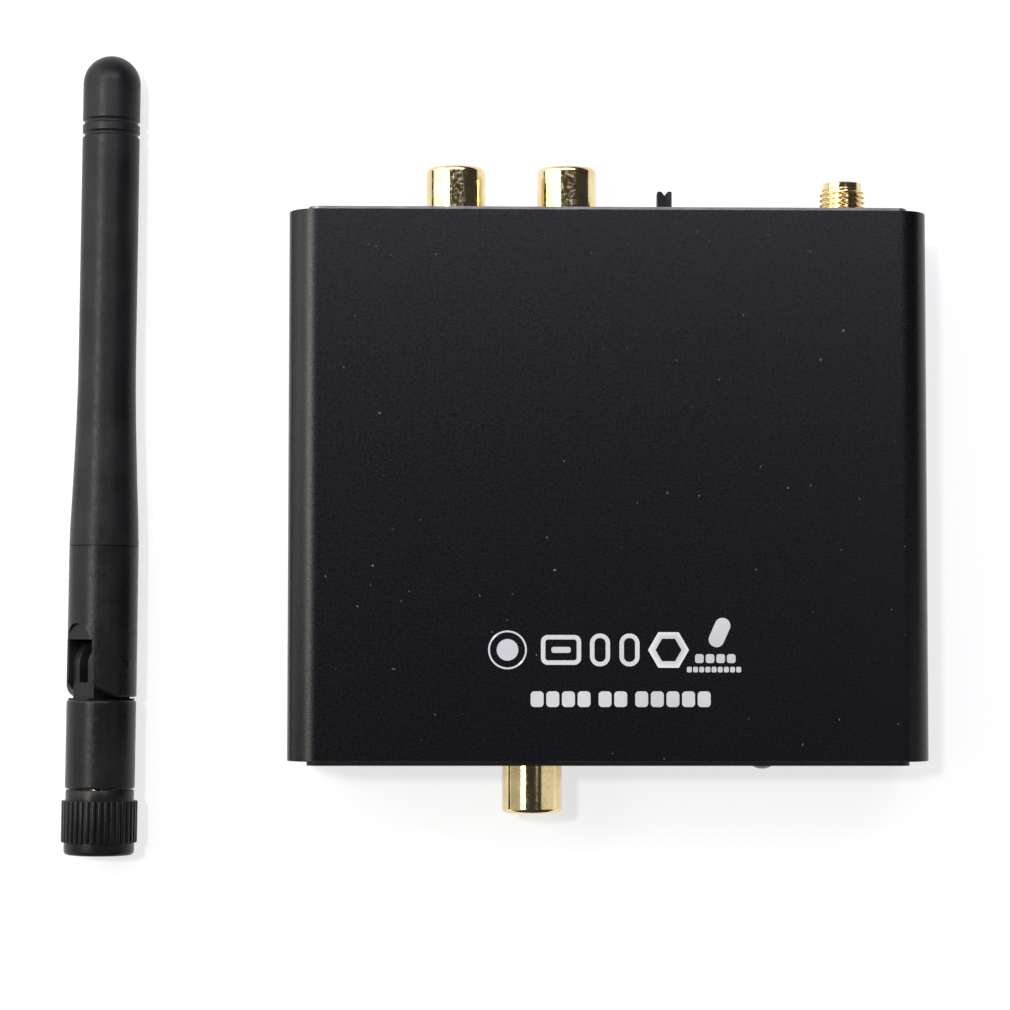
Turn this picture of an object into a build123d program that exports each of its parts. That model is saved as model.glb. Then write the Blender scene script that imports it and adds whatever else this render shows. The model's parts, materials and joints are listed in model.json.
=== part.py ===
"""Bluetooth audio receiver: an extruded box with its detachable tilting antenna lying beside it.

Frame: millimetres, +Z up. The origin is the middle of the face that the box rests on,
+X runs along the long side and +Y points out of the rear panel.
The box lies on its lid, so the underside of the case faces up.
"""
from build123d import *
from math import cos, radians, sin
import os

os.makedirs("parts", exist_ok=True)

# ---------------------------------------------------------------- driving dimensions
# Case extrusion
CASE_W = 87.0
CASE_D = 74.6
CASE_H = 25.0
CASE_CORNER_R = 4.2
WALL = 1.6
SIDE_WALL = 2.6
MOUTH_CORNER_R = 1.5

# End panels: they sit inside the mouth of the extrusion and stand slightly proud of it
PANEL_T = 1.5
PANEL_PROUD = 0.6
PANEL_GAP = 0.1
SCREW_X = 38.3
SCREW_FROM_FACE = 4.1
BOSS_R = 2.1
BOSS_HOLE_R = 1.25
SCREW_SHANK_R = 1.2
SCREW_HEAD_R = 2.15
SCREW_HEAD_H = 1.1
SCREW_LENGTH = 9.0
SCREW_HOLE_R = 1.4

# Circuit board: solder side up, parts hang below it
BOARD_T = 1.6
BOARD_BOTTOM = 17.0
BOARD_SIDE_IN_GROOVE = 0.8
BOARD_D = 71.2
GROOVE_GAP = 0.1
GROOVE_DEPTH = 0.9
LEAD_PROUD = 1.2

# Connectors and controls
JACK_Z = 12.5
RCA_LEFT_X = -20.75
RCA_RIGHT_X = -5.27
RCA_COAX_X = -10.1
RCA_TIP_Y = 44.8
RCA_SHELL_R = 4.15
STEP_GAP = 0.1
SHELL_STEP = 0.2
RCA_SHELL_BORE_R = 3.45
RCA_PIN_R = 1.65
RCA_HOUSING = (10.0, 11.6, 9.0)
SMA_X = 33.35
SMA_TIP_Y = 42.95
SMA_THREAD_R = 3.175
SMA_COLLAR_R = 2.7
SMA_COLLAR_L = 0.85
SMA_BLOCK = 6.5
SMA_BORE_R = 2.3
SWITCH_X = 8.2
SWITCH_Z = 14.6
SWITCH_TRAVEL = 2.0
SWITCH_KNOB = 2.02
SWITCH_TIP_Y = 41.3
LED_X = 21.8
LED_R = 2.5
LED_TIP_Y = 38.77
OPTICAL_X = 5.4
OPTICAL_SIDE = 9.7
OPTICAL_CAVITY = 8.2
SHUTTER_RECESS = 2.0
POWER_X = 32.0
POWER_Z = 11.2
POWER_BARREL_R = 3.9
POWER_BORE_R = 3.15
POWER_PIN_R = 1.0

# Antenna, along its own axis from the mouth of the nut (0) to the tip
ANT_MOUTH = (-70.68, -51.07)
ANT_TIP = (-69.80, 62.20)
ANT_LENGTH = 113.3
ANT_LIFT = 0.3
ANT_ROLL = 42.5
ANT_RESTS_APART = 105.0
NUT_LIP = (1.75, 4.9)
NUT_GRIP = (7.6, 5.3)
NUT_COLLAR = (9.1, 4.765)
NUT_RIBS = 36
BASE_BOTTOM = 9.25
BASE_TOP = 21.7
BASE_R = 4.86
ELBOW_BOTTOM = 22.1
ELBOW_R = 4.9
HINGE_S = 26.5
SLOT_HALF = 2.35
SLOT_TOP = 3.6
TONGUE_HALF = 2.2
TONGUE_R = 3.3
CHEEK_R = 4.6
RELIEF_U = 4.3
HINGE_PIN_R = 0.75
SEAM = 43.2
WHIP_R = 4.05
WHIP_ROOT_R = 4.85
WHIP_GROOVES = (101.8, 103.6)
COAX_R = 0.68

PANEL_FACE = CASE_D / 2 + PANEL_PROUD
PANEL_BACK = PANEL_FACE - PANEL_T
MOUTH_W = CASE_W - 2 * SIDE_WALL
MOUTH_H = CASE_H - 2 * WALL
MID_Z = CASE_H / 2
BOARD_TOP = BOARD_BOTTOM + BOARD_T
SCREW_Z = (SCREW_FROM_FACE, CASE_H - SCREW_FROM_FACE)
SCREW_PLACES = [(x, z) for x in (-SCREW_X, SCREW_X) for z in SCREW_Z]


# ---------------------------------------------------------------- small helpers
def save(shape, node):
    """Writes one sub-part under its node's name."""
    shape.label = node
    export_step(shape, f"parts/{node}.step")


def block(x, y, z):
    """A box given by its low and high coordinate on each axis."""
    middle = ((x[0] + x[1]) / 2, (y[0] + y[1]) / 2, (z[0] + z[1]) / 2)
    return Pos(*middle) * Box(x[1] - x[0], y[1] - y[0], z[1] - z[0])


def rod(x, z, y_from, y_to, r, r_end=None):
    """A cylinder along Y at (x, z), or a cone where the end radius differs."""
    length = abs(y_to - y_from)
    turn = Rot(-90, 0, 0) if y_to > y_from else Rot(90, 0, 0)
    body = Cylinder(r, length) if r_end is None else Cone(r, r_end, length)
    return Pos(x, (y_from + y_to) / 2, z) * turn * body


def post(x, y, z_from, z_to, r):
    """A cylinder along Z at (x, y)."""
    return Pos(x, y, (z_from + z_to) / 2) * Cylinder(r, z_to - z_from)


def slab(width, height, radius, y_from, y_to, z_mid=MID_Z, x_mid=0.0):
    """A rounded rectangle in the XZ plane, extruded between two Y values."""
    sketch = Plane.XZ * RectangleRounded(width, height, radius)
    return Pos(x_mid, y_to, z_mid) * extrude(sketch, y_to - y_from)


def group(solids):
    """Several separate solids kept in one node."""
    return Compound(children=list(solids))


def turned(profile):
    """A solid of revolution about Z from a list of (radius, height) corners."""
    return revolve(Plane.XZ * make_face(Polyline(*profile, close=True)), Axis.Z)


# ---------------------------------------------------------------- case and panels
def case_extrusion():
    """One-piece tube with board grooves in its side walls and a screw boss in each inner corner."""
    body = slab(CASE_W, CASE_H, CASE_CORNER_R, -CASE_D / 2, CASE_D / 2)
    body -= slab(MOUTH_W, MOUTH_H, MOUTH_CORNER_R, -CASE_D, CASE_D)
    groove_half = MOUTH_W / 2 + GROOVE_DEPTH
    groove_z = (BOARD_BOTTOM - GROOVE_GAP, BOARD_TOP + GROOVE_GAP)
    body -= block((-groove_half, groove_half), (-CASE_D, CASE_D), groove_z)
    boss_end = PANEL_BACK
    for x, z in SCREW_PLACES:
        x_wall = MOUTH_W / 2 + WALL / 2
        z_wall = WALL / 2 if z < MID_Z else CASE_H - WALL / 2
        x_range = sorted((x, x_wall if x > 0 else -x_wall))
        web = block(x_range, (-boss_end, boss_end), sorted((z, z_wall)))
        body += rod(x, z, -boss_end, boss_end, BOSS_R) + web
        body -= rod(x, z, -CASE_D, CASE_D, BOSS_HOLE_R)
    return body


def plain_panel(side):
    """A panel blank with its four countersunk holes; side is +1 for the rear and -1 for the front."""
    face, back = side * PANEL_FACE, side * PANEL_BACK
    size = MOUTH_W - 2 * PANEL_GAP, MOUTH_H - 2 * PANEL_GAP
    blank = slab(*size, MOUTH_CORNER_R, min(face, back), max(face, back))
    sink = SCREW_HEAD_H + 0.05
    for x, z in SCREW_PLACES:
        blank -= rod(x, z, back - side, face + side, SCREW_HOLE_R)
        blank -= rod(x, z, face - side * sink, face, SCREW_HOLE_R, SCREW_HEAD_R + 0.08)
    return blank


def rear_panel():
    """Rear panel with two phono holes, the switch slot and the aerial socket hole."""
    panel = plain_panel(1)
    through = (PANEL_BACK - 1, PANEL_FACE + 1)
    for x in (RCA_LEFT_X, RCA_RIGHT_X):
        panel -= rod(x, JACK_Z, *through, RCA_SHELL_R + 0.2)
    panel -= rod(SMA_X, JACK_Z, *through, SMA_THREAD_R + 0.2)
    slot_w = SWITCH_KNOB + SWITCH_TRAVEL + 0.4
    slot_x = SWITCH_X + SWITCH_TRAVEL / 2
    panel -= slab(slot_w, SWITCH_KNOB + 0.4, 0.4, *through, SWITCH_Z, slot_x)
    return panel


def front_panel():
    """Front panel with the coaxial socket, optical window, lamp and power holes."""
    panel = plain_panel(-1)
    through = (-PANEL_FACE - 1, -PANEL_BACK + 1)
    panel -= rod(RCA_COAX_X, JACK_Z, *through, RCA_SHELL_R + 0.2)
    panel -= rod(LED_X, JACK_Z, *through, LED_R + 0.1)
    panel -= rod(POWER_X, POWER_Z, *through, POWER_BARREL_R + 0.1)
    window = OPTICAL_SIDE + 0.2
    panel -= slab(window, window, 0.1, *through, BOARD_BOTTOM - OPTICAL_SIDE / 2, OPTICAL_X)
    return panel


def panel_screws(side):
    """Four countersunk self-tapping screws with cross recesses."""
    face = side * (PANEL_FACE - 0.02)
    head_end = face - side * SCREW_HEAD_H
    screws = []
    for x, z in SCREW_PLACES:
        screw = rod(x, z, face, head_end, SCREW_HEAD_R, SCREW_SHANK_R)
        screw += rod(x, z, head_end, face - side * SCREW_LENGTH, SCREW_SHANK_R)
        for size in ((0.55, 2.3), (2.3, 0.55)):
            screw -= Pos(x, face, z) * Box(size[0], 1.5, size[1])
        screws.append(screw)
    return group(screws)


# ---------------------------------------------------------------- sockets and controls
def rca_socket(x, side):
    """A board-mounted phono socket: housing, plated shell, insulator and sprung centre contact."""
    wide, deep, tall = RCA_HOUSING
    front, back = side * (PANEL_BACK - 0.1), side * (PANEL_BACK - deep)
    tip = side * RCA_TIP_Y
    root = front - side * 3.0
    tail_y = root - side * 3.2
    x_range = (x - wide / 2, x + wide / 2)
    housing = block(x_range, sorted((front, back)), (JACK_Z - tall / 2, BOARD_BOTTOM))
    housing = fillet(housing.edges().filter_by(Axis.Y), 0.5)
    housing -= rod(x, JACK_Z, root, front + side, RCA_SHELL_R - SHELL_STEP + 0.02)
    housing -= rod(x, JACK_Z, back + side * 2.0, root, RCA_SHELL_BORE_R - 1.0)
    tail_slot = sorted((tail_y - 0.4, tail_y + 0.4))
    housing -= block((x - 0.7, x + 0.7), tail_slot, (JACK_Z, BOARD_BOTTOM + 1))

    step = side * (PANEL_FACE + STEP_GAP)
    shell = rod(x, JACK_Z, step, tip, RCA_SHELL_R)
    shell = fillet(shell.edges().filter_by(GeomType.CIRCLE).sort_by(Axis.Y)[-1 if side > 0 else 0], 0.65)
    shell += rod(x, JACK_Z, root + side * 0.02, step, RCA_SHELL_R - SHELL_STEP)
    shell -= rod(x, JACK_Z, root - side, tip + side, RCA_SHELL_BORE_R)
    shell -= rod(x, JACK_Z, tip - side * 0.3, tip, RCA_SHELL_BORE_R, RCA_SHELL_BORE_R + 0.3)

    face = tip - side * 0.5
    sleeve_front = face - side * 0.6
    insulator = rod(x, JACK_Z, root + side * 0.02, face, RCA_SHELL_BORE_R - 0.02)
    insulator -= rod(x, JACK_Z, root - side, face + side, RCA_PIN_R)
    insulator -= rod(x, JACK_Z, root - side, sleeve_front, RCA_PIN_R + 0.32)

    contact = rod(x, JACK_Z, tail_y - side * 0.3, sleeve_front - side * 0.05, RCA_PIN_R + 0.3)
    contact -= rod(x, JACK_Z, tail_y + side * 0.6, tip, RCA_PIN_R)
    tail = sorted((tail_y - 0.25, tail_y + 0.25))
    contact += block((x - 0.5, x + 0.5), tail, (JACK_Z, BOARD_TOP + LEAD_PROUD))
    return {"housing": housing, "shell": shell, "insulator": insulator, "contact": contact}


def sma_tail_places():
    """Centres of the four legs under the aerial socket's block."""
    middle_y = PANEL_BACK - 0.15 - SMA_BLOCK / 2
    return [(SMA_X + dx, middle_y + dy) for dx in (-2.4, 2.4) for dy in (-2.2, 2.2)]


def sma_socket():
    """Board-mounted threaded aerial socket: plated body, dielectric and centre contact."""
    front = PANEL_BACK - 0.15
    back = front - SMA_BLOCK
    half = SMA_BLOCK / 2
    body = block((SMA_X - half, SMA_X + half), (back, front), (JACK_Z - half, BOARD_BOTTOM))
    collar_root = SMA_TIP_Y - SMA_COLLAR_L
    thread_root = PANEL_FACE + STEP_GAP
    body += rod(SMA_X, JACK_Z, front, thread_root, SMA_THREAD_R - SHELL_STEP)
    body += rod(SMA_X, JACK_Z, thread_root, collar_root, SMA_THREAD_R)
    body += rod(SMA_X, JACK_Z, collar_root, SMA_TIP_Y, SMA_COLLAR_R)
    for x, y in sma_tail_places():
        body += post(x, y, BOARD_BOTTOM, BOARD_TOP + LEAD_PROUD, 0.5)
    dielectric_face = SMA_TIP_Y - 2.0
    body -= rod(SMA_X, JACK_Z, dielectric_face, SMA_TIP_Y + 1, SMA_BORE_R)
    body -= rod(SMA_X, JACK_Z, back - 1, dielectric_face, 2.07)
    dielectric = rod(SMA_X, JACK_Z, back + 0.1, dielectric_face, 2.05)
    dielectric -= rod(SMA_X, JACK_Z, back, SMA_TIP_Y, 0.66)
    contact = rod(SMA_X, JACK_Z, back - 0.9, dielectric_face, 0.64)
    contact -= rod(SMA_X, JACK_Z, dielectric_face - 3.0, SMA_TIP_Y, 0.47)
    contact += post(SMA_X, back - 0.9, JACK_Z - 0.4, BOARD_TOP + LEAD_PROUD, 0.4)
    return {"body": body, "dielectric": dielectric, "contact": contact}


def slide_switch():
    """Miniature slide switch: folded frame, base with terminals, moving knob and bridging clip."""
    x_mid = SWITCH_X + SWITCH_TRAVEL / 2
    z_range = (SWITCH_Z - 2.3, BOARD_BOTTOM)
    front, sheet = PANEL_BACK - 0.2, 0.4
    frame = block((x_mid - 4.3, x_mid + 4.3), (front - 3.7, front), z_range)
    inside_z = (z_range[0] + sheet, z_range[1] - sheet)
    frame -= block((x_mid - 3.9, x_mid + 3.9), (front - 4, front - sheet), inside_z)
    slot_w = SWITCH_KNOB + SWITCH_TRAVEL + 0.3
    frame -= slab(slot_w, SWITCH_KNOB + 0.3, 0.3, front - 1, front + 1, SWITCH_Z, x_mid)
    for x in (x_mid - 4.1, x_mid + 4.1):
        frame += block((x - 0.2, x + 0.2), (front - 2.6, front - 1.6), (BOARD_BOTTOM, BOARD_TOP + 0.6))
    base_z = (inside_z[0] + 0.05, inside_z[1] - 0.05)
    base = block((x_mid - 3.85, x_mid + 3.85), (front - 3.7, front - 2.9), base_z)
    terminals = []
    for step in (-1, 0, 1):
        x = x_mid + step * 2.0
        base -= block((x - 0.32, x + 0.32), (front - 5, front - 2.5), (SWITCH_Z - 0.82, SWITCH_Z + 0.82))
        head = block((x - 0.3, x + 0.3), (front - 4.4, front - 2.6), (SWITCH_Z - 0.8, SWITCH_Z + 0.8))
        leg = block((x - 0.3, x + 0.3), (front - 4.4, front - 4.0), (SWITCH_Z - 0.8, BOARD_TOP + LEAD_PROUD))
        terminals.append(head + leg)
    carriage_front = front - sheet - 0.05
    carriage_back = carriage_front - 1.2
    carriage_y = (carriage_back, carriage_front)
    knob = block((SWITCH_X - 2.0, SWITCH_X + 2.0), carriage_y, (SWITCH_Z - 1.6, SWITCH_Z + 1.6))
    half = SWITCH_KNOB / 2
    stem_z = (SWITCH_Z - half, SWITCH_Z + half)
    stem = block((SWITCH_X - half, SWITCH_X + half), (carriage_front, SWITCH_TIP_Y), stem_z)
    notch = Plane.XY * make_face(Polyline((-0.53, 0.1), (0, -0.58), (0.53, 0.1), close=True))
    stem -= Pos(SWITCH_X, SWITCH_TIP_Y, SWITCH_Z - 2) * extrude(notch, 4)
    horns = [edge for edge in stem.edges().filter_by(Axis.Z) if edge.center().Y > SWITCH_TIP_Y - 0.3]
    stem = fillet(horns, 0.18)
    knob += stem
    clip_y, stem_y = (front - 2.5, front - 2.1), (front - 2.1, carriage_back)
    clip = block((SWITCH_X - 1.6, SWITCH_X + 1.6), clip_y, (SWITCH_Z - 0.7, SWITCH_Z + 0.7))
    clip += block((SWITCH_X - 0.4, SWITCH_X + 0.4), stem_y, (SWITCH_Z - 0.5, SWITCH_Z + 0.5))
    return {"frame": frame, "base": base, "terminals": group(terminals), "knob": knob, "contact_clip": clip}


def status_lamp():
    """Five-millimetre domed lamp and its two formed leads."""
    flange = -PANEL_BACK + 1.4
    lens = rod(LED_X, JACK_Z, flange, LED_R - LED_TIP_Y, LED_R)
    lens += Pos(LED_X, LED_R - LED_TIP_Y, JACK_Z) * Sphere(LED_R)
    lens += rod(LED_X, JACK_Z, flange, flange + 1.0, 2.9)
    leads = []
    for x in (LED_X - 1.27, LED_X + 1.27):
        lead = block((x - 0.25, x + 0.25), (flange + 1.0, flange + 4.0), (JACK_Z - 0.25, JACK_Z + 0.25))
        leg_z = (JACK_Z - 0.25, BOARD_TOP + LEAD_PROUD)
        lead += block((x - 0.25, x + 0.25), (flange + 3.5, flange + 4.0), leg_z)
        leads.append(lead)
    return {"lens": lens, "leads": group(leads)}


def optical_socket():
    """Square optical socket with a sprung inward-swinging shutter and its light emitter."""
    z_mid = BOARD_BOTTOM - OPTICAL_SIDE / 2
    half, inner = OPTICAL_SIDE / 2, OPTICAL_CAVITY / 2
    mouth, back, depth = -PANEL_FACE + 0.1, -PANEL_FACE + 15.0, 10.0
    x_range, z_range = (OPTICAL_X - half, OPTICAL_X + half), (z_mid - half, z_mid + half)
    housing = block(x_range, (mouth, back), z_range)
    cavity_x, cavity_z = (OPTICAL_X - inner, OPTICAL_X + inner), (z_mid - inner, z_mid + inner)
    housing -= block(cavity_x, (mouth - 1, mouth + depth), cavity_z)
    pivot_y, pivot_z = mouth + SHUTTER_RECESS, z_mid + inner - 0.65
    axle = Pos(OPTICAL_X, pivot_y, pivot_z) * Rot(0, 90, 0) * Cylinder(0.5, OPTICAL_CAVITY + 0.8)
    housing -= Pos(OPTICAL_X, pivot_y, pivot_z) * Rot(0, 90, 0) * Cylinder(0.55, OPTICAL_CAVITY + 0.9)
    housing -= rod(OPTICAL_X, z_mid, mouth + depth - 1, mouth + depth + 3.0, 2.55)
    flap_half = inner - 0.15
    shutter = block((OPTICAL_X - flap_half, OPTICAL_X + flap_half), (pivot_y - 0.5, pivot_y + 0.5),
                    (z_mid - inner + 0.2, pivot_z))
    shutter += axle
    emitter = rod(OPTICAL_X, z_mid, mouth + depth + 0.1, mouth + depth + 2.9, 2.5)
    return {"housing": housing, "shutter": shutter, "emitter": emitter}


def power_jack():
    """Direct-current barrel socket: moulded body, centre pin and side spring contact."""
    front, flange = -PANEL_FACE + 0.1, -PANEL_BACK + 0.1
    back = flange + 12.0
    housing = block((POWER_X - 4.5, POWER_X + 4.5), (flange, back), (POWER_Z - 4.6, BOARD_BOTTOM))
    housing += rod(POWER_X, POWER_Z, front, flange, POWER_BARREL_R)
    housing -= rod(POWER_X, POWER_Z, front - 1, back - 2.5, POWER_BORE_R)
    housing -= rod(POWER_X, POWER_Z, back - 3, back + 1, POWER_PIN_R + 0.02)
    housing -= block((POWER_X - 1.0, POWER_X + 1.0), (back - 7.0, back - 2.5), (POWER_Z, BOARD_BOTTOM + 1))
    pin = rod(POWER_X, POWER_Z, front + 1.0, back + 0.6, POWER_PIN_R)
    tail_x = (POWER_X - 0.9, POWER_X + 0.9)
    pin += block(tail_x, (back + 0.1, back + 0.6), (POWER_Z - 0.9, BOARD_TOP + LEAD_PROUD))
    spring_z = POWER_Z + POWER_BORE_R - 0.3
    spring = block((POWER_X - 0.9, POWER_X + 0.9), (back - 6.5, back - 2.9), (spring_z, spring_z + 0.3))
    spring += block(tail_x, (back - 3.2, back - 2.9), (spring_z, BOARD_TOP + LEAD_PROUD))
    return {"housing": housing, "pin": pin, "spring": spring}


# ---------------------------------------------------------------- circuit board and its parts
def hung(x, y, width, depth, height, gap=0.0):
    """A component body hanging under the board."""
    top = BOARD_BOTTOM - gap
    return block((x - width / 2, x + width / 2), (y - depth / 2, y + depth / 2), (top - height, top))


def main_board(leads):
    """The board, drilled for every lead that passes through it."""
    half = MOUTH_W / 2 + BOARD_SIDE_IN_GROOVE
    board = block((-half, half), (-BOARD_D / 2, BOARD_D / 2), (BOARD_BOTTOM, BOARD_TOP))
    for lead in leads:
        low, high = lead.bounding_box().min, lead.bounding_box().max
        if high.Z > BOARD_BOTTOM + 0.1:
            for leg in (lead & block((-50, 50), (-50, 50), (BOARD_BOTTOM, BOARD_TOP))).solids():
                box = leg.bounding_box()
                x_range = (box.min.X - 0.1, box.max.X + 0.1)
                y_range = (box.min.Y - 0.1, box.max.Y + 0.1)
                board -= block(x_range, y_range, (BOARD_BOTTOM - 1, BOARD_TOP + 1))
    return board


def chip(x, y, width, depth, height, pins):
    """A gull-wing chip: its moulded body and a row of pins on both long sides, as one piece."""
    body = hung(x, y, width, depth, height, 0.1)
    pitch = width / (pins + 0.5)
    for number in range(pins):
        x_pin = x + (number - (pins - 1) / 2) * pitch
        body += hung(x_pin, y, pitch * 0.4, depth + 2.0, 0.25)
        body += hung(x_pin, y, pitch * 0.4, depth + 0.6, height * 0.5)
    return body


def electrolytic(x, y, r, height):
    """A radial capacitor can with a pressed groove."""
    can = post(x, y, BOARD_BOTTOM - height, BOARD_BOTTOM - 0.2, r)
    ring = post(x, y, BOARD_BOTTOM - 1.9, BOARD_BOTTOM - 1.4, r + 0.1)
    ring -= post(x, y, BOARD_BOTTOM - 2, BOARD_BOTTOM - 1, r - 0.25)
    return can - ring + post(x, y, BOARD_BOTTOM - 0.2, BOARD_BOTTOM, 1.5)


def board_parts():
    """Everything soldered under the board away from the panels."""
    parts = {}
    parts["bluetooth_module_board"] = hung(30.0, 14.0, 13.4, 24.0, 0.8)
    shield = hung(30.0, 12.5, 11.6, 16.0, 2.0, 0.8)
    parts["bluetooth_module_shield"] = shield - hung(30.0, 12.5, 11.2, 15.6, 1.8, 0.8)
    parts["converter_chip"] = chip(-12.0, 12.0, 7.8, 5.3, 1.7, 10)
    parts["output_amplifier_chip"] = chip(-24.5, 12.0, 4.9, 3.9, 1.5, 4)
    regulator = hung(22.0, -14.0, 6.5, 3.5, 1.7) + hung(22.0, -11.5, 3.0, 1.6, 0.5)
    for x in (19.7, 22.0, 24.3):
        regulator += hung(x, -16.4, 0.8, 1.6, 0.4)
    parts["voltage_regulator"] = regulator
    cans = [(-33.0, 16.0), (-33.0, 6.0), (-24.0, -6.0), (33.0, -14.0)]
    parts["electrolytic_capacitors"] = group(electrolytic(x, y, 3.15, 7.2) for x, y in cans)
    crystal = slab(11.0, 4.4, 2.19, -4.4, -1.0, BOARD_BOTTOM - 2.3, 6.0)
    parts["clock_crystal"] = crystal
    chips = [(-18.0 + 3.2 * column, 1.0 - 3.4 * row) for column in range(6) for row in range(3)]
    parts["chip_passives"] = group(hung(x, y, 1.6, 0.8, 0.6) for x, y in chips)
    return parts


# ---------------------------------------------------------------- antenna, built along its own Z
def nut_parts():
    """Knurled grip moulded over a brass nut, both turning freely on the connector."""
    lip_end, lip_r = NUT_LIP
    grip_end, grip_r = NUT_GRIP
    collar_end, collar_r = NUT_COLLAR
    bevel = 0.35
    outside = [(lip_r - bevel, 0), (lip_r, bevel), (lip_r, lip_end), (grip_r - bevel, lip_end),
               (grip_r, lip_end + bevel), (grip_r, grip_end - bevel), (grip_r - bevel, grip_end),
               (collar_r, grip_end), (collar_r, collar_end)]
    grip = turned([(4.02, 0), *outside, (3.0, collar_end), (3.0, 6.45), (4.02, 6.45)])
    cutters = []
    for number in range(NUT_RIBS):
        angle = radians(360 / NUT_RIBS * number)
        place = (grip_r + 0.12) * cos(angle), (grip_r + 0.12) * sin(angle)
        cutters.append(Pos(*place, (lip_end + grip_end) / 2) * Cylinder(0.3, grip_end - lip_end + 1))
    grip -= cutters
    core = turned([(3.2, 0.3), (4.0, 0.3), (4.0, 6.4), (2.72, 6.4), (2.72, 5.2), (3.2, 5.2)])
    return {"grip": grip, "core": core}


def connector_parts():
    """The still centre of the antenna plug: ferrule, dielectric, pin and the ring that keeps the nut on."""
    mating_tube = [(2.1, 1.2), (2.25, 1.2), (2.25, 3.2)]
    flange_and_groove = [(3.1, 3.2), (3.1, 4.4), (2.66, 4.4), (2.66, 4.6), (2.4, 4.6), (2.4, 5.05)]
    barrel = [(2.66, 5.05), (2.66, 12.6), (3.3, 12.6), (3.3, 13.8), (2.1, 13.8)]
    ferrule = turned(mating_tube + flange_and_groove + barrel)
    ring = Pos(0, 0, 4.83) * (Cylinder(3.0, 0.4) - Cylinder(2.42, 1) - Pos(3, 0, 0) * Box(3, 0.8, 1))
    dielectric = Pos(0, 0, 7.9) * (Cylinder(2.08, 11.0) - Cylinder(0.47, 12))
    pin = turned([(0, 0.4), (0.2, 0.4), (0.45, 0.8), (0.45, 13.6), (0, 13.6)])
    return {"ferrule": ferrule, "snap_ring": ring, "dielectric": dielectric, "centre_pin": pin}


def base_body():
    """Swivelling foot: a barrel on the connector with a tongue that carries the tilt hinge."""
    outside = [(2.76, BASE_BOTTOM), (BASE_R, BASE_BOTTOM), (BASE_R, BASE_TOP)]
    body = turned([*outside, (0.8, BASE_TOP), (0.8, 14.0), (3.4, 14.0), (3.4, 12.4), (2.76, 12.4)])
    for height, rounding in ((BASE_TOP, 0.45), (BASE_BOTTOM, 0.3)):
        circles = body.edges().filter_by(GeomType.CIRCLE)
        rim = [edge for edge in circles if edge.radius > BASE_R - 0.01]
        rim = [edge for edge in rim if abs(edge.center().Z - height) < 0.01]
        body = fillet(rim, rounding)
    tongue_half_v = (-TONGUE_HALF, TONGUE_HALF)
    tongue = block((-TONGUE_R, TONGUE_R), tongue_half_v, (BASE_TOP, HINGE_S))
    tongue += block((-4.2, 4.2), tongue_half_v, (BASE_TOP, BASE_TOP + 0.2))
    tongue += Pos(0, 0, HINGE_S) * Rot(90, 0, 0) * Cylinder(TONGUE_R, 2 * TONGUE_HALF)
    tongue -= block((-0.8, TONGUE_R + 1), (-0.9, 0.9), (BASE_TOP + 2.4, HINGE_S + TONGUE_R + 1))
    tongue -= post(0, 0, BASE_TOP - 1, HINGE_S, 0.8)
    tongue -= Pos(0, 0, HINGE_S) * Rot(90, 0, 0) * Cylinder(HINGE_PIN_R + 0.05, 10)
    return body + tongue


def elbow_body():
    """Tilting elbow: slotted cheeks round the tongue, a clearance flat and the spigot for the whip."""
    spigot = [(3.4, SEAM), (3.4, SEAM + 5.0), (0, SEAM + 5.0)]
    body = turned([(0, ELBOW_BOTTOM), (ELBOW_R, ELBOW_BOTTOM), (WHIP_ROOT_R, SEAM), *spigot])
    below = block((0, 6), (-6, 6), (HINGE_S - 6, HINGE_S))
    below -= Pos(0, 0, HINGE_S) * Rot(90, 0, 0) * Cylinder(CHEEK_R, 20)
    body -= below
    body -= block((-TONGUE_R - 0.3, 6), (-SLOT_HALF, SLOT_HALF), (HINGE_S - 6, HINGE_S + SLOT_TOP))
    arch_centre = HINGE_S + SLOT_TOP - 0.1
    body -= block((RELIEF_U, 6), (-SLOT_HALF, SLOT_HALF), (HINGE_S, arch_centre))
    body -= Pos(RELIEF_U + 1, 0, arch_centre) * Rot(0, 90, 0) * Cylinder(SLOT_HALF, 2)
    body -= Pos(0, 0, HINGE_S) * Rot(90, 0, 0) * Cylinder(HINGE_PIN_R + 0.02, 20)
    low_edges = [edge for edge in body.edges() if edge.center().Z < HINGE_S + SLOT_TOP - 0.5]
    mouth = [edge for edge in low_edges if abs(edge.center().Z - HINGE_S) > 0.9 or abs(edge.center().X) > 0.9]
    body = fillet(mouth, 0.3)
    return body - post(0, 0, HINGE_S, SEAM + 6, 0.8)


def hinge_pins():
    """Two stub pins, one in each cheek, that leave the middle of the tongue free for the cable."""
    pins = []
    for side in (-1, 1):
        middle = side * (1.05 + 4.65) / 2
        pins.append(Pos(0, middle, HINGE_S) * Rot(90, 0, 0) * Cylinder(HINGE_PIN_R, 4.65 - 1.05))
    return group(pins)


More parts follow.
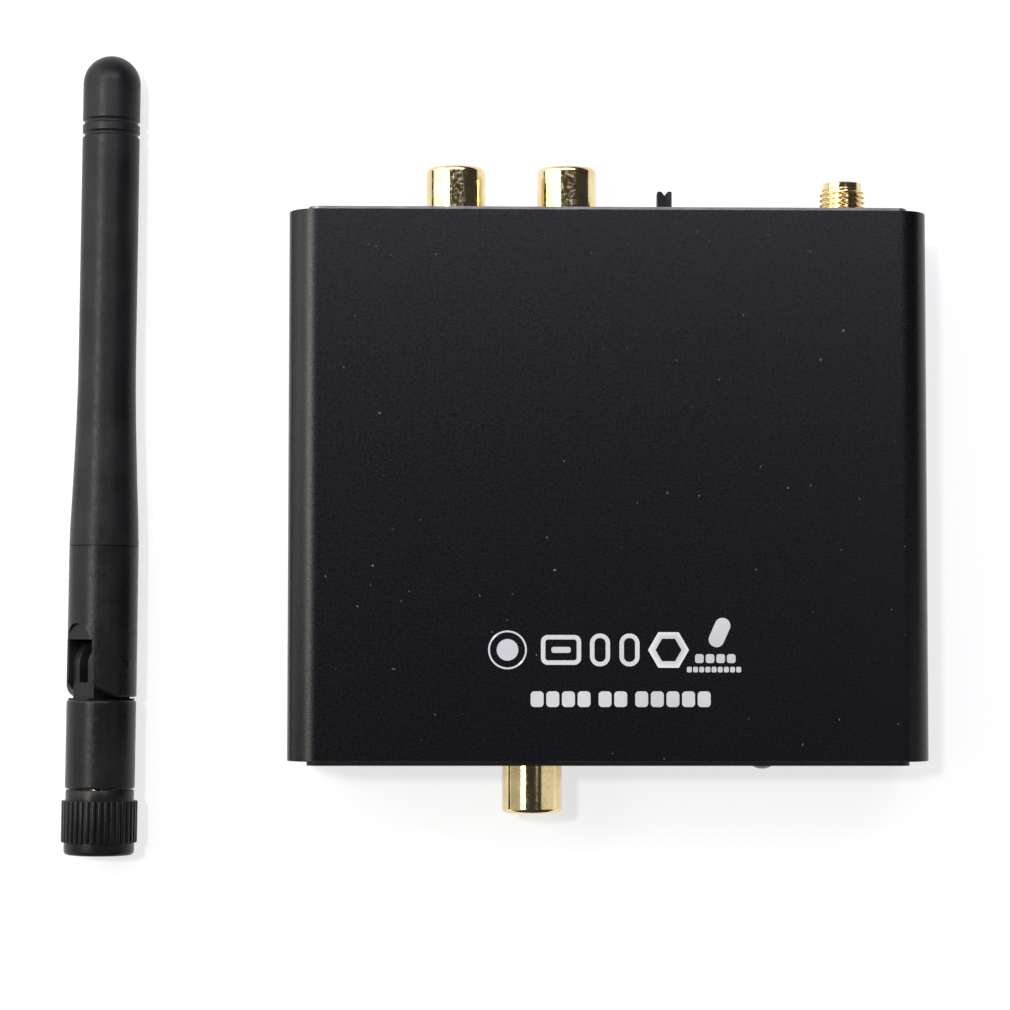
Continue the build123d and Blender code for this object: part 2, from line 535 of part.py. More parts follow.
def whip_body():
    """Flexible outer sleeve with a flared root, two rings near the tip and a domed end."""
    flare = [(WHIP_ROOT_R, SEAM + 0.1), (4.61, 50.0), (4.33, 57.0), (4.12, 64.0), (WHIP_R, 71.0)]
    dome_centre = ANT_LENGTH - WHIP_R
    outline = Polyline((3.45, SEAM + 0.1), flare[0]) + Spline(*flare, tangents=[(-0.02, 1), (0, 1)])
    outline += Line(flare[-1], (WHIP_R, dome_centre))
    outline += CenterArc((0, dome_centre), WHIP_R, 0, 90)
    hollow = [(0, 108.0), (2.6, 108.0), (2.6, 49.0), (3.45, 49.0), (3.45, SEAM + 0.1)]
    outline += Polyline((0, ANT_LENGTH), *hollow)
    body = revolve(Plane.XZ * make_face(outline.edges()), Axis.Z)
    for s in WHIP_GROOVES:
        body -= Pos(0, 0, s) * Torus(WHIP_R + 0.15, 0.42)
    return body


def radio_parts():
    """The radiating element inside the whip and the thin cable that feeds it."""
    lower = post(0, 0, 14.1, HINGE_S - 2.0, COAX_R)
    upper = post(0, 0, HINGE_S + 3.8, 56.0, COAX_R)
    sleeve = Pos(0, 0, 65.0) * (Cylinder(2.4, 26.0) - Cylinder(2.1, 30.0))
    sleeve += Pos(0, 0, 77.4) * (Cylinder(2.4, 1.2) - Cylinder(0.7, 2))
    wire = post(0, 0, 56.1, 106.0, 0.4)
    return {"coax_lower": lower, "coax_upper": upper, "dipole_sleeve": sleeve, "dipole_wire": wire}


def antenna_place():
    """Where the antenna lies: its grip and its tip both hang a hair above the surface under the box."""
    rise = WHIP_R - NUT_GRIP[1]
    slope = rise / ANT_RESTS_APART
    mouth_z = NUT_GRIP[1] + ANT_LIFT - slope * sum((NUT_LIP[0], NUT_GRIP[0])) / 2
    run = ANT_TIP[0] - ANT_MOUTH[0], ANT_TIP[1] - ANT_MOUTH[1]
    along = Vector(run[0], run[1], slope * run[1]).normalized()
    roll = radians(ANT_ROLL)
    fold = Vector(-sin(roll), 0, cos(roll))
    fold = (fold - along * fold.dot(along)).normalized()
    return Plane(origin=(*ANT_MOUTH, mouth_z), x_dir=fold, z_dir=along)


# ---------------------------------------------------------------- write every sub-part
def main():
    nodes = {"case_extrusion": case_extrusion(), "rear_panel": rear_panel(), "front_panel": front_panel()}
    nodes["rear_panel_screws"] = panel_screws(1)
    nodes["front_panel_screws"] = panel_screws(-1)
    sockets = (("left_rca", RCA_LEFT_X, 1), ("right_rca", RCA_RIGHT_X, 1), ("coax_rca", RCA_COAX_X, -1))
    for name, x, side in sockets:
        for piece, shape in rca_socket(x, side).items():
            nodes[f"{name}_{piece}"] = shape
    families = {"aerial_socket": sma_socket(), "switch": slide_switch(), "lamp": status_lamp(),
                "optical": optical_socket(), "power_jack": power_jack()}
    for name, pieces in families.items():
        for piece, shape in pieces.items():
            nodes[f"{name}_{piece}"] = shape
    drilled_for = [shape for name, shape in nodes.items() if "panel" not in name and "case" not in name]
    nodes["main_board"] = main_board(drilled_for)
    nodes.update(board_parts())

    place = antenna_place().location
    antenna = {f"nut_{name}": shape for name, shape in nut_parts().items()}
    antenna.update(connector_parts())
    antenna.update({"base": base_body(), "elbow": elbow_body()})
    antenna.update({"hinge_pins": hinge_pins(), "whip": whip_body()})
    antenna.update(radio_parts())
    for name, shape in antenna.items():
        nodes[f"antenna_{name}"] = place * shape
    for node, shape in nodes.items():
        save(shape, node)
    print(len(nodes), "nodes; antenna axis", place.orientation, "mouth", place.position)


main()
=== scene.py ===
"""Looks of the bluetooth audio receiver: an extruded black box on its lid, with its loose antenna.

Units are metres in the part's own frame, and millimetres where a docstring says so. Places come from
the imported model's boxes and joints. The sizes of what is cut or printed here are named beside it.
"""
import json
import math

import bmesh
import bpy
from mathutils import Matrix, Vector


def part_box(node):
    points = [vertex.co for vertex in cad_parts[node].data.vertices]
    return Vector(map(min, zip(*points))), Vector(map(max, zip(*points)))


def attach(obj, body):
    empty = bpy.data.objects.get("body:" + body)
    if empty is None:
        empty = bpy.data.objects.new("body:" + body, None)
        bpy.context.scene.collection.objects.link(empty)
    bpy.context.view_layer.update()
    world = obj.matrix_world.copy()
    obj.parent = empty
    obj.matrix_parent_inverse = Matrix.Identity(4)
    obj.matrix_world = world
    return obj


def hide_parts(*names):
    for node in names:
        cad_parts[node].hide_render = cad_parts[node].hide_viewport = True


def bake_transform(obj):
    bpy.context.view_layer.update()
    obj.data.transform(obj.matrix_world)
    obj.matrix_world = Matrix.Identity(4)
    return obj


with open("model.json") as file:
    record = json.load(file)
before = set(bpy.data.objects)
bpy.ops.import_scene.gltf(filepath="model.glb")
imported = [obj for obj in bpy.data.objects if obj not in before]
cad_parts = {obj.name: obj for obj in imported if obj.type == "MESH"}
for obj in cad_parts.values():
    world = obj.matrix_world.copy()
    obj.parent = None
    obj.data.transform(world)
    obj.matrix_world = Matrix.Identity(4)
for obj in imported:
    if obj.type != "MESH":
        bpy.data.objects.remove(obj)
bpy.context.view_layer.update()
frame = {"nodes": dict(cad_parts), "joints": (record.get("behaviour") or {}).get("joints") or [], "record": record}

MM = 0.001
CRISP_ANGLE = math.radians(35)
NODES = frame["nodes"]
JOINTS = {joint["name"]: joint for joint in frame["joints"]}


# ---------------------------------------------------------------- places taken from the frame
def middle(node):
    """Centre of a CAD node's box."""
    low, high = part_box(node)
    return (low + high) / 2


def along(axis, origin, across):
    """A matrix whose Z is axis and whose X is the part of across that is square to it."""
    z = Vector(axis).normalized()
    x = Vector(across)
    x = (x - z * x.dot(z)).normalized()
    y = z.cross(x)
    place = Matrix((x, y, z)).transposed().to_4x4()
    place.translation = Vector(origin)
    return place


CASE_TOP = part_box("case_extrusion")[1].z
JACK_Z = middle("left_rca_shell").z
SMA_X = middle("aerial_socket_body").x

ANT_AXIS = Vector(JOINTS["antenna_nut_spin"]["axis"])
TILT_AXIS = Vector(JOINTS["antenna_tilt"]["axis"])
NUT_MID_S = 3.0 * MM
ANT_MOUTH = Vector(JOINTS["antenna_nut_spin"]["pos_m"]) - ANT_AXIS * NUT_MID_S
ANT_PLACE = along(ANT_AXIS, ANT_MOUTH, TILT_AXIS.cross(ANT_AXIS))


# ---------------------------------------------------------------- mesh helpers
def add_object(name, mesh):
    thing = bpy.data.objects.new(name, mesh)
    bpy.context.scene.collection.objects.link(thing)
    return thing


def mesh_object(name, vertices, faces, place=Matrix.Identity(4)):
    """A mesh object from plain lists, with its sharp edges kept crisp."""
    mesh = bpy.data.meshes.new(name)
    mesh.from_pydata([place @ Vector(v) for v in vertices], [], faces)
    mesh.validate()
    tidy = bmesh.new()
    tidy.from_mesh(mesh)
    bmesh.ops.remove_doubles(tidy, verts=tidy.verts, dist=1e-8)
    bmesh.ops.recalc_face_normals(tidy, faces=tidy.faces)
    for face in tidy.faces:
        face.smooth = True
    for edge in tidy.edges:
        edge.smooth = len(edge.link_faces) == 2 and edge.calc_face_angle(0.0) < CRISP_ANGLE
    tidy.to_mesh(mesh)
    tidy.free()
    return add_object(name, mesh)


def rounded(corners, radius, steps=5):
    """A polygon's outline with each corner turned into an arc, smaller where its sides are short."""
    count = len(corners)
    outline = []
    for number, corner in enumerate(corners):
        here = Vector(corner)
        before = Vector(corners[number - 1]) - here
        after = Vector(corners[(number + 1) % count]) - here
        turn = math.pi - before.angle(after)
        reach = min(radius * math.tan(turn / 2), 0.49 * before.length, 0.49 * after.length)
        arc = reach / math.tan(turn / 2)
        start, end = here + before.normalized() * reach, here + after.normalized() * reach
        bisector = (before.normalized() + after.normalized()).normalized()
        centre = here + bisector * math.hypot(arc, reach)
        for step in range(steps + 1):
            share = step / steps
            chord = start.lerp(end, share) - centre
            outline.append(tuple(centre + chord.normalized() * arc))
    return outline


def lathe(name, outline, place, segments, shape):
    """Turns a closed (radius, height) outline about the place's Z; shape(angle, r, s) gives each radius."""
    vertices, faces = [], []
    count = len(outline)
    for number in range(segments):
        angle = 2 * math.pi * number / segments
        for radius, height in outline:
            r = shape(angle, radius, height)
            vertices.append((r * math.cos(angle), r * math.sin(angle), height))
    for number in range(segments):
        here, there = number * count, (number + 1) % segments * count
        for step in range(count):
            after = (step + 1) % count
            faces.append((here + step, here + after, there + after, there + step))
    return mesh_object(name, vertices, faces, place)


def prism(name, outline, low, high, place, edge=0.0):
    """Extrudes an XY outline from low to high along the place's Z, with an optional chamfer on both ends."""
    mesh = bmesh.new()
    bottom = [mesh.verts.new((x, y, low)) for x, y in outline]
    face = mesh.faces.new(bottom)
    top = bmesh.ops.extrude_face_region(mesh, geom=[face])
    moved = [item for item in top["geom"] if isinstance(item, bmesh.types.BMVert)]
    bmesh.ops.translate(mesh, verts=moved, vec=(0, 0, high - low))
    bmesh.ops.recalc_face_normals(mesh, faces=mesh.faces)
    if edge:
        rims = [e for e in mesh.edges if abs(e.verts[0].co.z - e.verts[1].co.z) < 1e-9]
        bmesh.ops.bevel(mesh, geom=rims, offset=edge, segments=2, affect="EDGES", profile=0.5)
    for side in mesh.faces:
        side.smooth = True
    for line in mesh.edges:
        line.smooth = line.calc_face_angle(0.0) < CRISP_ANGLE
    data = bpy.data.meshes.new(name)
    mesh.transform(place)
    mesh.to_mesh(data)
    mesh.free()
    return add_object(name, data)


# ---------------------------------------------------------------- materials
class Nodes:
    """A short way to write a material's node tree."""

    def __init__(self, name):
        self.material = bpy.data.materials.new(name)
        self.material.use_nodes = True
        self.tree = self.material.node_tree
        self.shader = self.tree.nodes["Principled BSDF"]
        self.place = self.add("ShaderNodeTexCoord").outputs["Object"]

    def add(self, kind):
        return self.tree.nodes.new(kind)

    def put(self, socket, value):
        """Links a source to the socket, or sets the socket's plain value."""
        if isinstance(value, bpy.types.NodeSocket):
            self.tree.links.new(value, socket)
        else:
            socket.default_value = value

    def noise(self, scale, detail=2.0, roughness=0.5, vector=None):
        node = self.add("ShaderNodeTexNoise")
        for key, value in (("Scale", scale), ("Detail", detail), ("Roughness", roughness)):
            node.inputs[key].default_value = value
        self.tree.links.new(vector or self.place, node.inputs["Vector"])
        return node.outputs["Fac"]

    def stretched(self, x, y, z):
        """The object's own coordinates, scaled along each axis."""
        node = self.add("ShaderNodeMapping")
        node.inputs["Scale"].default_value = (x, y, z)
        self.tree.links.new(self.place, node.inputs["Vector"])
        return node.outputs["Vector"]

    def ramp(self, source, *stops):
        """A colour ramp; each stop is (place, grey or colour)."""
        node = self.add("ShaderNodeValToRGB")
        while len(node.color_ramp.elements) < len(stops):
            node.color_ramp.elements.new(0.5)
        for element, (where, colour) in zip(node.color_ramp.elements, stops):
            element.position = where
            element.color = (colour,) * 3 + (1,) if isinstance(colour, float) else (*colour, 1)
        self.tree.links.new(source, node.inputs["Fac"])
        return node.outputs["Color"]

    def mix(self, share, first, second):
        node = self.add("ShaderNodeMix")
        node.data_type = "RGBA"
        self.put(node.inputs["Factor"], share)
        self.put(node.inputs["A"], first if isinstance(first, bpy.types.NodeSocket) else (*first, 1))
        self.put(node.inputs["B"], second if isinstance(second, bpy.types.NodeSocket) else (*second, 1))
        return node.outputs["Result"]

    def bump(self, height, strength, distance, after=None):
        node = self.add("ShaderNodeBump")
        node.inputs["Strength"].default_value = strength
        node.inputs["Distance"].default_value = distance
        self.tree.links.new(height, node.inputs["Height"])
        if after:
            self.tree.links.new(after, node.inputs["Normal"])
        return node.outputs["Normal"]

    def painted_edge_highlight(self, low, high):
        """Painted highlight: a lighter colour where the surface is a convex edge, as if the edge caught the light.
        """
        pointiness = self.add("ShaderNodeNewGeometry").outputs["Pointiness"]
        return self.ramp(pointiness, (low, 0.0), (high, 1.0))

    def finish(self, **values):
        """Sets the shader's sockets: plain values stay on the socket, sources are linked."""
        for key, value in values.items():
            socket = self.shader.inputs[key.replace("_", " ")]
            if isinstance(value, tuple) and len(value) == 3:
                value = (*value, 1)
            self.put(socket, value)
        return self.material


def blasted_anodise():
    """Bead-blasted black anodised aluminium: fine pits, cloudy tone, and a few pale dust specks."""
    n = Nodes("blasted_black_anodise")
    grain = n.noise(5200.0, 3.0, 0.65)
    cloud = n.noise(60.0, 2.0)
    tone = n.ramp(grain, (0.36, (0.0004, 0.0004, 0.0008)), (0.68, (0.0038, 0.0037, 0.0056)))
    tone = n.mix(n.ramp(cloud, (0.35, 0.0), (0.65, 0.30)), tone, (0.0012, 0.0012, 0.0018))
    dust = n.ramp(n.noise(1500.0, 1.0), (0.81, 0.0), (0.825, 1.0))
    tone = n.mix(dust, tone, (0.10, 0.10, 0.10))
    rough = n.ramp(n.noise(2600.0, 2.0), (0.3, 0.24), (0.7, 0.31))
    normal = n.bump(grain, 0.60, 0.00003)
    return n.finish(Base_Color=tone, Roughness=rough, Normal=normal, Specular_IOR_Level=0.27)


def gold_plate():
    """Thin bright gold over turned brass: faint turning rings and a mottled, slightly uneven polish."""
    n = Nodes("polished_gold_plate")
    blotch = n.noise(2600.0, 2.0, 0.6)
    colour = n.ramp(n.noise(300.0, 2.0), (0.3, (0.69, 0.54, 0.27)), (0.7, (0.80, 0.66, 0.385)))
    rough = n.ramp(blotch, (0.42, 0.06), (0.64, 0.20))
    uneven = n.bump(n.noise(3800.0, 2.0, 0.6), 0.12, 0.00003)
    turning = n.noise(1.0, 1.0, vector=n.stretched(120.0, 26000.0, 120.0))
    normal = n.bump(turning, 0.05, 0.00001, uneven)
    return n.finish(Base_Color=colour, Roughness=rough, Normal=normal, Metallic=1.0)


def textured_plastic(name, dark, light, roughness, grain=5000.0, strength=0.35, specular=0.4):
    """Moulded plastic with a fine eroded texture, a little tonal drift and a painted highlight on its convex
    edges.
    """
    n = Nodes(name)
    pits = n.noise(grain, 2.0, 0.6)
    drift = n.noise(140.0, 2.0)
    tone = n.mix(n.ramp(drift, (0.3, 0.0), (0.7, 1.0)), dark, light)
    # Painted highlight: convex edges are lightened as if they caught the light.
    tone = n.mix(n.painted_edge_highlight(0.60, 0.72), tone, tuple(1.6 * c + 0.004 for c in light))
    rough = n.ramp(n.noise(grain / 3, 2.0), (0.3, roughness - 0.05), (0.7, roughness + 0.07))
    normal = n.bump(pits, strength, 0.00004)
    return n.finish(Base_Color=tone, Roughness=rough, Normal=normal, Specular_IOR_Level=specular)


def plated_metal(name, dark, light, roughness, grain=(2000.0, 2000.0, 2000.0)):
    """Plain plated metal with a directional grain."""
    n = Nodes(name)
    streaks = n.noise(1.0, 3.0, 0.6, vector=n.stretched(*grain))
    colour = n.ramp(streaks, (0.3, dark), (0.7, light))
    rough = n.ramp(streaks, (0.3, roughness - 0.06), (0.7, roughness + 0.08))
    return n.finish(Base_Color=colour, Roughness=rough, Metallic=1.0, Normal=n.bump(streaks, 0.08, 0.00001))


MATERIALS = {
    "case": blasted_anodise(),
    "gold": gold_plate(),
    "panel_silver": plated_metal("brushed_silver_anodise", (0.13, 0.13, 0.13), (0.19, 0.19, 0.19), 0.38,
                                 (400.0, 4000.0, 16000.0)),
    "panel_black": textured_plastic("satin_black_anodise", (0.003, 0.003, 0.0035), (0.008, 0.008, 0.009),
                                    0.38, specular=0.25),
    "screw": plated_metal("black_zinc", (0.03, 0.03, 0.033), (0.07, 0.07, 0.075), 0.34),
    "plastic": textured_plastic("moulded_black_plastic", (0.010, 0.010, 0.011), (0.020, 0.020, 0.022), 0.40),
    "knob": textured_plastic("satin_black_knob", (0.002, 0.002, 0.0025), (0.005, 0.005, 0.006), 0.40,
                             specular=0.14),
    "antenna": textured_plastic("antenna_black_plastic", (0.0035, 0.0035, 0.0038), (0.008, 0.008, 0.0083),
                                0.30, 3400.0, 0.5, 0.18),
    "rubber": textured_plastic("soft_black_rubber", (0.005, 0.005, 0.0055), (0.011, 0.011, 0.0115), 0.34,
                               3400.0, 0.55, 0.15),
    "white_insulator": textured_plastic("white_insulator", (0.62, 0.62, 0.58), (0.76, 0.76, 0.72), 0.35),
    "red_insulator": textured_plastic("red_insulator", (0.34, 0.012, 0.010), (0.50, 0.03, 0.02), 0.35),
    "black_insulator": textured_plastic("black_insulator", (0.012, 0.012, 0.012), (0.03, 0.03, 0.03), 0.35),
    "ptfe": textured_plastic("turned_ptfe", (0.72, 0.72, 0.69), (0.84, 0.84, 0.81), 0.45),
    "tin": plated_metal("tin_plate", (0.50, 0.50, 0.49), (0.68, 0.68, 0.66), 0.30),
    "brass": plated_metal("bare_brass", (0.58, 0.42, 0.17), (0.76, 0.58, 0.27), 0.26),
    "board": textured_plastic("green_solder_mask", (0.012, 0.10, 0.04), (0.025, 0.17, 0.07), 0.30),
    "module": textured_plastic("blue_solder_mask", (0.012, 0.035, 0.13), (0.025, 0.06, 0.21), 0.30),
    "chip": textured_plastic("moulded_chip_black", (0.014, 0.014, 0.015), (0.026, 0.026, 0.028), 0.55),
    "sleeve": textured_plastic("capacitor_sleeve", (0.012, 0.012, 0.02), (0.03, 0.03, 0.05), 0.25),
    "ceramic": textured_plastic("ceramic_tan", (0.26, 0.18, 0.11), (0.40, 0.29, 0.19), 0.45),
    "lamp": textured_plastic("dark_tinted_epoxy", (0.018, 0.015, 0.018), (0.028, 0.024, 0.028), 0.10,
                             strength=0.02, specular=0.6),
    "ink": textured_plastic("pale_grey_ink", (0.29, 0.29, 0.305), (0.355, 0.355, 0.37), 0.55, 9000.0, 0.3),
}

SLOT_MATERIAL = {
    "case_black": "case", "panel_silver": "panel_silver", "panel_black": "panel_black",
    "screw_black": "screw", "gold_plate": "gold", "jack_plastic": "plastic",
    "insulator_white": "white_insulator", "insulator_red": "red_insulator",
    "insulator_black": "black_insulator", "ptfe": "ptfe", "tinned_steel": "tin", "knob_black": "knob",
    "lamp_dark": "lamp", "board_green": "board", "module_blue": "module", "shield_tin": "tin",
    "chip_black": "chip", "capacitor_sleeve": "sleeve", "crystal_can": "tin", "passive_tan": "ceramic",
    "antenna_black": "antenna", "whip_rubber": "rubber", "cable_black": "black_insulator",
    "brass_bare": "brass",
}


def paint(thing, material):
    thing.data.materials.clear()
    thing.data.materials.append(MATERIALS[material])


def paint_frame():
    """Every CAD node takes the finish of its record slot."""
    for part in frame["record"]["subparts"]:
        paint(NODES[part["node"]], SLOT_MATERIAL[part["material_slot"]])


def stand_for(piece, body, slot, material, *nodes):
    """Finishes a piece: its material, the body it rides on and the CAD nodes it stands for."""
    paint(piece, material)
    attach(piece, body)
    if nodes:
        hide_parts(*nodes)


# ---------------------------------------------------------------- camera, light and floor
CAMERA_PLACE = Vector((-21.52, -21.72, 396.18)) * MM
CAMERA_PITCH, CAMERA_PAN, CAMERA_ROLL = 0.0508, -0.0200, 0.0009
SENSOR_WIDTH = 36.0
LENS = 98.47


def make_camera():
    data = bpy.data.cameras.new("camera")
    data.sensor_width = SENSOR_WIDTH
    data.lens = LENS
    data.clip_start, data.clip_end = 0.01, 20.0
    camera = add_object("camera", data)
    camera.location = CAMERA_PLACE
    camera.rotation_euler = (CAMERA_PITCH, CAMERA_PAN, CAMERA_ROLL)
    bpy.context.scene.camera = camera


WARM, WHITE, COOL, LILAC = (1.0, 0.97, 0.92), (1.0, 1.0, 1.0), (0.93, 0.94, 1.0), (0.90, 0.88, 1.0)
# Each softbox: its name, its place, the point it faces, its width and height, its brightness and colour.
SOFTBOXES = (
    ("left_panel", (-0.62, 0.38, 0.56), (0.0, 0.38, 0.56), (0.76, 1.10), 2.7, WARM),
    ("left_front_panel", (-0.62, -0.20, 0.56), (0.0, -0.20, 0.56), (0.40, 1.10), 0.50, WARM),
    ("softbox", (-0.70, 0.30, 0.98), (0.0, 0.10, 0.0), (0.46, 0.34), 9.0, WARM),
    ("front_softbox", (-0.70, -0.02, 0.98), (0.0, -0.02, 0.0), (0.20, 0.34), 8.0, WARM),
    ("back_softbox", (-0.02, 0.40, 0.66), (-0.02, 0.10, 0.0), (0.80, 0.34), 6.6, LILAC),
    ("right_softbox", (0.30, 0.04, 1.0), (0.03, 0.0, 0.0), (0.24, 0.16), 0.9, COOL),
    ("back_panel", (-0.30, 0.80, 0.30), (-0.1, 0.0, 0.30), (0.90, 0.40), 1.0, WHITE),
    ("right_card", (0.42, -0.07, 0.32), (0.0, -0.07, 0.32), (0.10, 0.62), 0.85, WARM),
)
KEY_LIGHT = ("key", (-0.22, 0.09, 1.0), (-0.01, 0.0, 0.01), (0.05, 0.05), 800.0, WHITE)
WORLD_COLOUR, WORLD_STRENGTH = (0.92, 0.94, 1.0, 1), 0.05
FLOOR_HALF = 3.0
FLOOR_GREY, FLOOR_ROUGHNESS, FLOOR_GLOW = 0.24, 0.9, 0.71


def soft_light(name, place, target, size, radiance, colour):
    """A rectangular softbox of a given surface brightness that faces the target."""
    data = bpy.data.lights.new(name, "AREA")
    data.shape = "RECTANGLE"
    data.size, data.size_y = size
    data.energy = radiance * math.pi * size[0] * size[1]
    data.color = colour
    light = add_object(name, data)
    light.location = place
    light.rotation_euler = (Vector(target) - Vector(place)).to_track_quat("-Z", "Y").to_euler()
    return light


def make_lights():
    """Large softboxes on the left and behind, small ones on the right, and a key light for the shadows."""
    for softbox in SOFTBOXES:
        soft_light(*softbox)
    soft_light(*KEY_LIGHT).visible_glossy = False
    world = bpy.data.worlds.new("studio")
    world.use_nodes = True
    background = world.node_tree.nodes["Background"]
    background.inputs["Color"].default_value = WORLD_COLOUR
    background.inputs["Strength"].default_value = WORLD_STRENGTH
    bpy.context.scene.world = world


def make_floor():
    """A floor that glows evenly, like a light table."""
    half = FLOOR_HALF
    corners = [(-half, -half, 0.0), (half, -half, 0.0), (half, half, 0.0), (-half, half, 0.0)]
    floor = mesh_object("floor", corners, [(0, 1, 2, 3)])
    n = Nodes("light_table")
    glow = n.finish(Base_Color=(FLOOR_GREY,) * 3, Roughness=FLOOR_ROUGHNESS, Specular_IOR_Level=0.0,
                    Emission_Color=WHITE, Emission_Strength=FLOOR_GLOW)
    floor.data.materials.append(glow)


# ---------------------------------------------------------------- edges of the CAD shapes
FLAT_ANGLE, BEVEL_ANGLE = math.radians(0.5), math.radians(40)


def soften(node, width):
    """Rounds a CAD shape's sharp edges with modifiers, so that they catch the light."""
    thing = NODES[node]
    weld = thing.modifiers.new("weld", "WELD")
    weld.merge_threshold = 1e-6
    flat = thing.modifiers.new("flat", "DECIMATE")
    flat.decimate_type = "DISSOLVE"
    flat.angle_limit = FLAT_ANGLE
    edge = thing.modifiers.new("edge", "BEVEL")
    edge.width = width
    edge.segments = 2
    edge.limit_method = "ANGLE"
    edge.angle_limit = BEVEL_ANGLE
    edge.use_clamp_overlap = True
    shading = thing.modifiers.new("shading", "WEIGHTED_NORMAL")
    shading.weight = 90
    shading.keep_sharp = False


# ---------------------------------------------------------------- aerial socket with a cut thread
THREAD_PITCH = 25.4 / 36 * MM
THREAD_R, THREAD_DEPTH = 3.175 * MM, 0.38 * MM
THREAD_CREST, THREAD_ROOT = 0.20, 0.25
COLLAR_LENGTH, COLLAR_R = 0.85 * MM, 2.7 * MM
SOCKET_STEP_Y = 38.0 * MM
SOCKET_NECK_R = 2.975 * MM
SOCKET_BORE_R, SOCKET_BORE_DEPTH, DIELECTRIC_R = 2.3 * MM, 2.0 * MM, 2.07 * MM
SOCKET_BLOCK = 6.5 * MM
SOCKET_SEAT, SOCKET_EDGE = 0.3 * MM, 0.12 * MM
SOCKET_LEG = 2.8 * MM
SOCKET_ROWS, SOCKET_SIDES = 110, 168


def thread_cut(angle, s):
    """How deep a right-hand thread is cut at an angle and height, from 0 at a crest to 1 in a root."""
    turn = (s / THREAD_PITCH - angle / (2 * math.pi)) % 1.0
    from_crest = abs(turn - 0.5) * 2
    return min(1.0, max(0.0, (1 - from_crest - THREAD_CREST) / (1 - THREAD_CREST - THREAD_ROOT)))


def aerial_socket():
    """Plated body: block, neck through the panel, threaded barrel, plain collar and mating bore.

    The barrel starts inside the block, which is solid, and the legs through the board are left out.
    """
    low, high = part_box("aerial_socket_body")
    tip = high.y
    collar = tip - COLLAR_LENGTH
    block_front = low.y + SOCKET_BLOCK
    seat = block_front - SOCKET_SEAT
    place = along((0, 1, 0), (SMA_X, 0, JACK_Z), (1, 0, 0))
    rise = collar - SOCKET_STEP_Y
    thread = [(THREAD_R, SOCKET_STEP_Y + rise * i / SOCKET_ROWS) for i in range(SOCKET_ROWS + 1)]
    collar_rim = [(COLLAR_R, collar), (COLLAR_R, tip - SOCKET_EDGE), (COLLAR_R - SOCKET_EDGE, tip)]
    bore_end = tip - SOCKET_BORE_DEPTH
    bore = [(SOCKET_BORE_R + SOCKET_EDGE, tip), (SOCKET_BORE_R, tip - SOCKET_EDGE), (SOCKET_BORE_R, bore_end)]
    inside = [(DIELECTRIC_R, bore_end), (DIELECTRIC_R, seat)]
    neck = [(SOCKET_NECK_R, seat), (SOCKET_NECK_R, SOCKET_STEP_Y)]

    def cut(angle, r, s):
        if r < THREAD_R - 1e-7:
            return r
        lead_in = min(1.0, (collar - s) / THREAD_PITCH)
        crest = COLLAR_R + (THREAD_R - COLLAR_R) * (0.25 + 0.75 * lead_in)
        return max(COLLAR_R, crest - THREAD_DEPTH * thread_cut(angle, s))

    outline = inside + neck + thread + collar_rim + bore
    barrel = lathe("aerial_socket_barrel", outline, place, SOCKET_SIDES, cut)
    half = SOCKET_BLOCK / 2
    top = high.z - SOCKET_LEG - JACK_Z
    block = rounded([(-half, -half), (half, -half), (half, top), (-half, top)], 0.3 * MM)
    turned_up = Matrix.Translation((SMA_X, 0, JACK_Z)) @ Matrix.Rotation(math.radians(90), 4, "X")
    return [barrel, prism("aerial_socket_block", block, -block_front, -low.y, turned_up, 0.15 * MM)]


# ---------------------------------------------------------------- antenna nut
NUT_RIBS = 36
RIB_DEPTH = 0.34 * MM


def antenna_nut():
    """Moulded grip: rounded lip, ribs with narrow grooves between them, and a plain collar.

    The outline's points are a radius and a height along the antenna, in millimetres.
    """
    lip_r, lip_round, grip_r, collar_r = 4.9, 0.57, 5.3, 4.765
    turns = [math.radians(15 * i) for i in range(7)]
    lip = [(lip_r - lip_round + lip_round * math.sin(t), lip_round - lip_round * math.cos(t)) for t in turns]
    ribs = [(grip_r - 0.36, 1.75), (grip_r - 0.12, 1.75), (grip_r - 0.03, 1.80), (grip_r, 1.90),
            (grip_r, 4.6), (grip_r, 7.45), (grip_r - 0.03, 7.55), (grip_r - 0.12, 7.60),
            (grip_r - 0.36, 7.60)]
    collar = [(collar_r, 7.62), (collar_r, 8.98), (collar_r - 0.04, 9.07), (collar_r - 0.12, 9.10)]
    inside = [(3.0, 9.1), (3.0, 6.45), (4.02, 6.45), (4.02, 0.0)]
    outline = [(r * MM, s * MM) for r, s in inside + lip + [(lip_r, 1.74)] + ribs + collar]
    root = (grip_r * MM) - RIB_DEPTH

    def rib(angle, r, s):
        if r <= root:
            return r
        turn = (angle * NUT_RIBS / (2 * math.pi)) % 1.0
        from_middle = abs(turn - 0.5) * 2
        crest = min(1.0, max(0.0, (from_middle - 0.22) / 0.26))
        crest = crest * crest * (3 - 2 * crest)
        dome = 0.06 * MM * (1 - from_middle) * crest
        return root + (r - root - dome) * crest

    return lathe("antenna_nut_ribbed_grip", outline, ANT_PLACE, NUT_RIBS * 10, rib)


